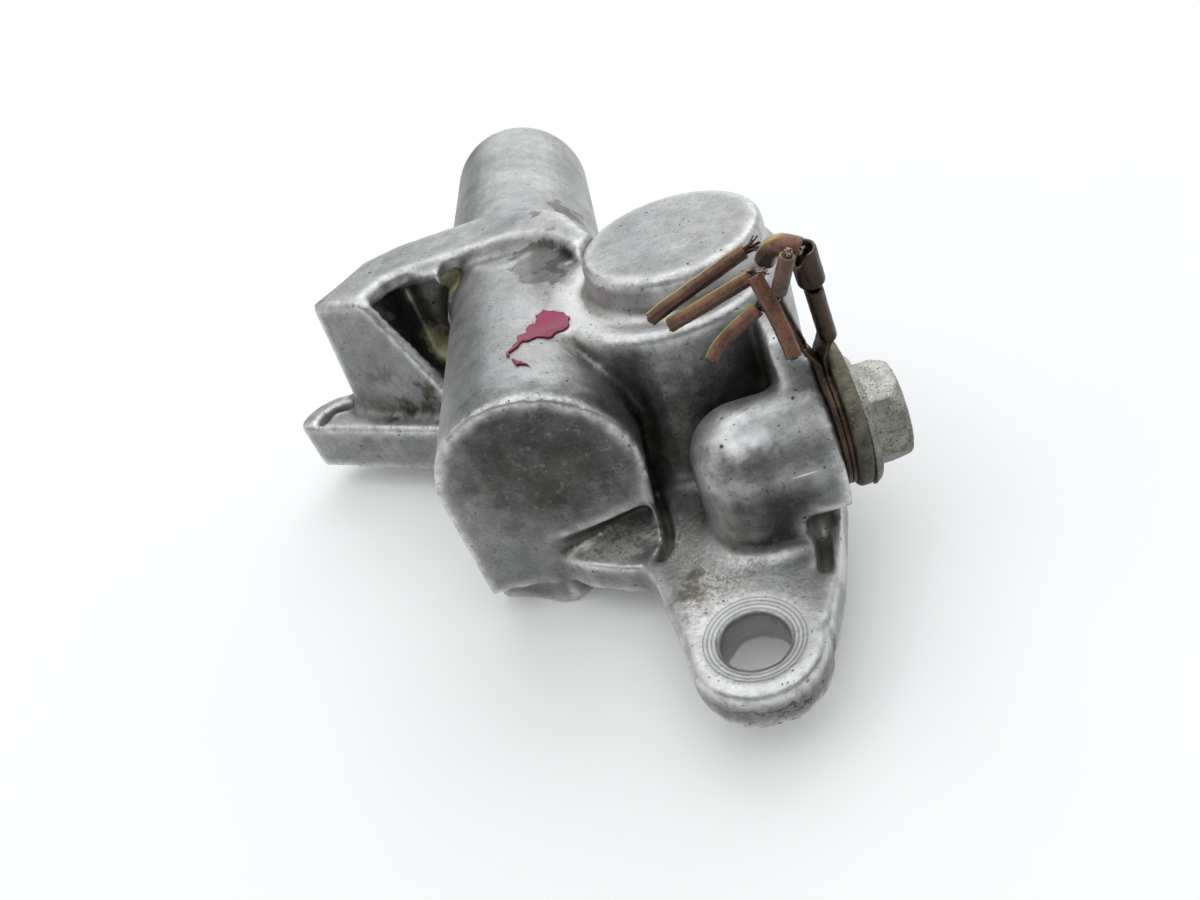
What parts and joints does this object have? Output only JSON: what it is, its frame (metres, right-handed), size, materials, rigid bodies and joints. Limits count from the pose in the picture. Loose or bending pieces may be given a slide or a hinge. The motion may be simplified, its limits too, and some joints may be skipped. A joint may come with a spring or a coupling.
{
  "type": "engine port housing",
  "caption": "Die-cast flanged engine housing with a pipe neck, an upper chamber, a mounting ear and a ground bolt that holds ring terminals with cut wire stubs.",
  "frame": {"origin": "centre of the port in the plug-in collar, on the plane of the mounting face", "axes": "+Z out of the engine, away from the mounting face; +Y along the main chamber towards the pipe neck; +X towards the ground bolt"},
  "size_m": [0.1045, 0.1523, 0.0553],
  "materials": {
    "casting": "as-cast aluminium, dull and speckled with oxide, oil film and dirt",
    "zinc_steel": "zinc-plated steel gone grey-yellow, specked with dirt",
    "terminal_sheet": "tarnished dark bronze-brown sheet, satin",
    "wire_insulation": "brown wire insulation, satin, grimy",
    "copper_strands": "dulled copper strands with dark grime"
  },
  "bodies": {
    "root": {"housing": "casting", "ground_bolt": "zinc_steel", "ground_washer": "zinc_steel", "ring_terminal_front": "terminal_sheet", "ring_terminal_rear": "terminal_sheet", "wire_jacket_1": "wire_insulation", "wire_jacket_2": "wire_insulation", "wire_jacket_3": "wire_insulation", "wire_jacket_4": "wire_insulation", "wire_jacket_5": "wire_insulation", "wire_jacket_6": "wire_insulation", "wire_core_1": "copper_strands", "wire_core_2": "copper_strands", "wire_core_3": "copper_strands", "wire_core_4": "copper_strands", "wire_core_5": "copper_strands", "wire_core_6": "copper_strands"}
  },
  "joints": []
}
